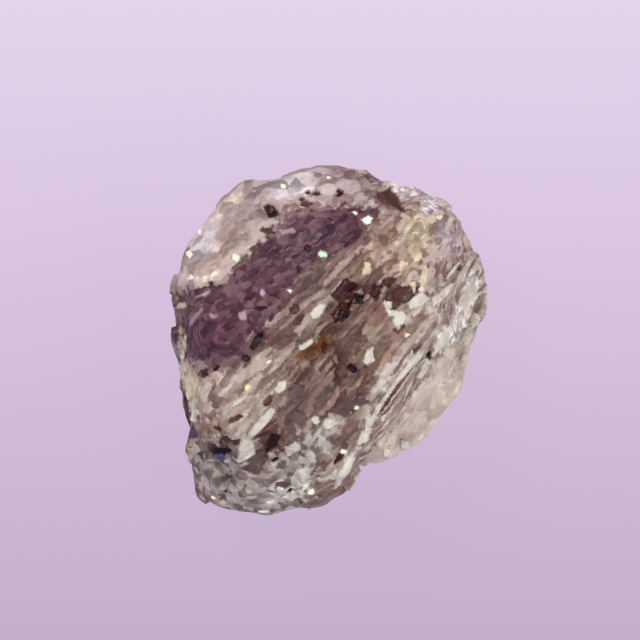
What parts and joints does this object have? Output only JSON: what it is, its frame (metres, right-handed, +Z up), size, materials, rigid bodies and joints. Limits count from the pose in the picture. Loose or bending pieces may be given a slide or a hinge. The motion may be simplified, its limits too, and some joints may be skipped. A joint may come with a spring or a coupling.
{
  "type": "rough scapolite crystal",
  "caption": "Rough scapolite crystal fragment with a violet face, cream crust and white fibrous splinters, lying on a flat cleavage face.",
  "frame": {"origin": "on the surface that the stone lies on, under the middle of its bounding box", "axes": "+Z up, out of the broad upper face; +Y along the stone's longest side, towards the rounded cream rim; +X towards the edge with the white splinters, across the stone"},
  "size_m": [0.0214, 0.0238, 0.0148],
  "materials": {
    "scapolite": "vitreous, splintery broken crystal mottled violet, cream, brown and white"
  },
  "bodies": {
    "root": {"scapolite_crystal": "scapolite"}
  },
  "joints": []
}
